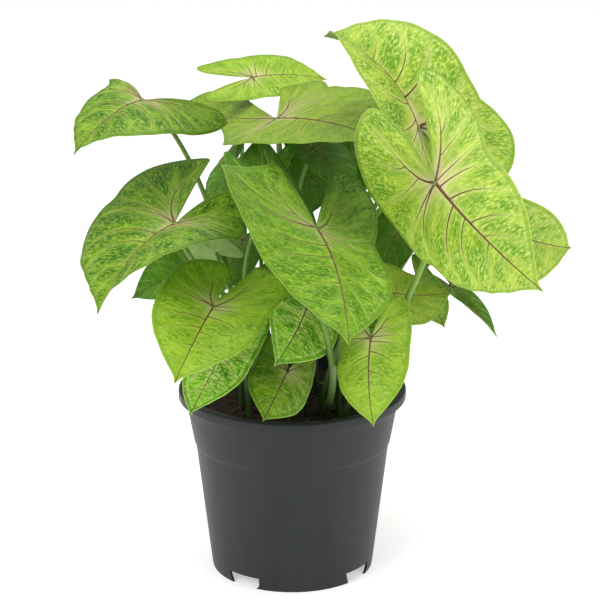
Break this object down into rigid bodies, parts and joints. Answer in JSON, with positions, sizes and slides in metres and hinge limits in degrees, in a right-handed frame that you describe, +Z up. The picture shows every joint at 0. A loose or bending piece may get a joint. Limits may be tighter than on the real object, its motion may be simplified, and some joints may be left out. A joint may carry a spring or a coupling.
{
  "type": "potted arrowhead plant",
  "caption": "Arrowhead plant with lime-green arrow-shaped leaves on upright stalks, growing in peat in a round dark nursery pot.",
  "frame": {"origin": "on the ground under the middle of the whole plant's box; the pot's axis stands at x -24.4 mm, y 26.9 mm", "axes": "+Z up along the pot's axis; -Y is the side that the picture shows"},
  "size_m": [0.2796, 0.3344, 0.319],
  "materials": {
    "pot_plastic": "satin dark grey",
    "peat": "rough dark brown peat",
    "leaf_green": "soft waxy green"
  },
  "bodies": {
    "root": {"pot": "pot_plastic", "soil": "peat", "leaf_front_centre": "leaf_green", "leaf_right_large": "leaf_green", "leaf_top_right": "leaf_green", "leaf_right_back": "leaf_green", "leaf_left_top": "leaf_green", "leaf_top_middle": "leaf_green", "leaf_left_large": "leaf_green", "leaf_lower_left": "leaf_green", "leaf_low_left_small": "leaf_green", "leaf_low_centre_small": "leaf_green", "leaf_low_centre": "leaf_green", "leaf_low_right": "leaf_green", "leaf_right_middle": "leaf_green", "leaf_top_back": "leaf_green", "leaf_right_low": "leaf_green", "leaf_right_curled": "leaf_green", "leaf_right_inner": "leaf_green", "leaf_centre_inner": "leaf_green", "leaf_left_cupped": "leaf_green", "leaf_upper_inner": "leaf_green", "leaf_left_under": "leaf_green", "leaf_left_inner": "leaf_green", "leaf_left_dark": "leaf_green", "leaf_low_behind": "leaf_green", "leaf_back_left": "leaf_green", "leaf_back_middle": "leaf_green", "leaf_back_right": "leaf_green", "leaf_back_low_left": "leaf_green", "leaf_back_low_right": "leaf_green", "leaf_sprout": "leaf_green", "leaf_fill_middle": "leaf_green", "leaf_fill_right": "leaf_green", "leaf_fill_left": "leaf_green", "leaf_fill_low": "leaf_green", "leaf_fill_upper": "leaf_green", "leaf_deep_centre": "leaf_green", "leaf_deep_left": "leaf_green", "leaf_deep_right": "leaf_green", "leaf_deep_low": "leaf_green"}
  },
  "joints": []
}
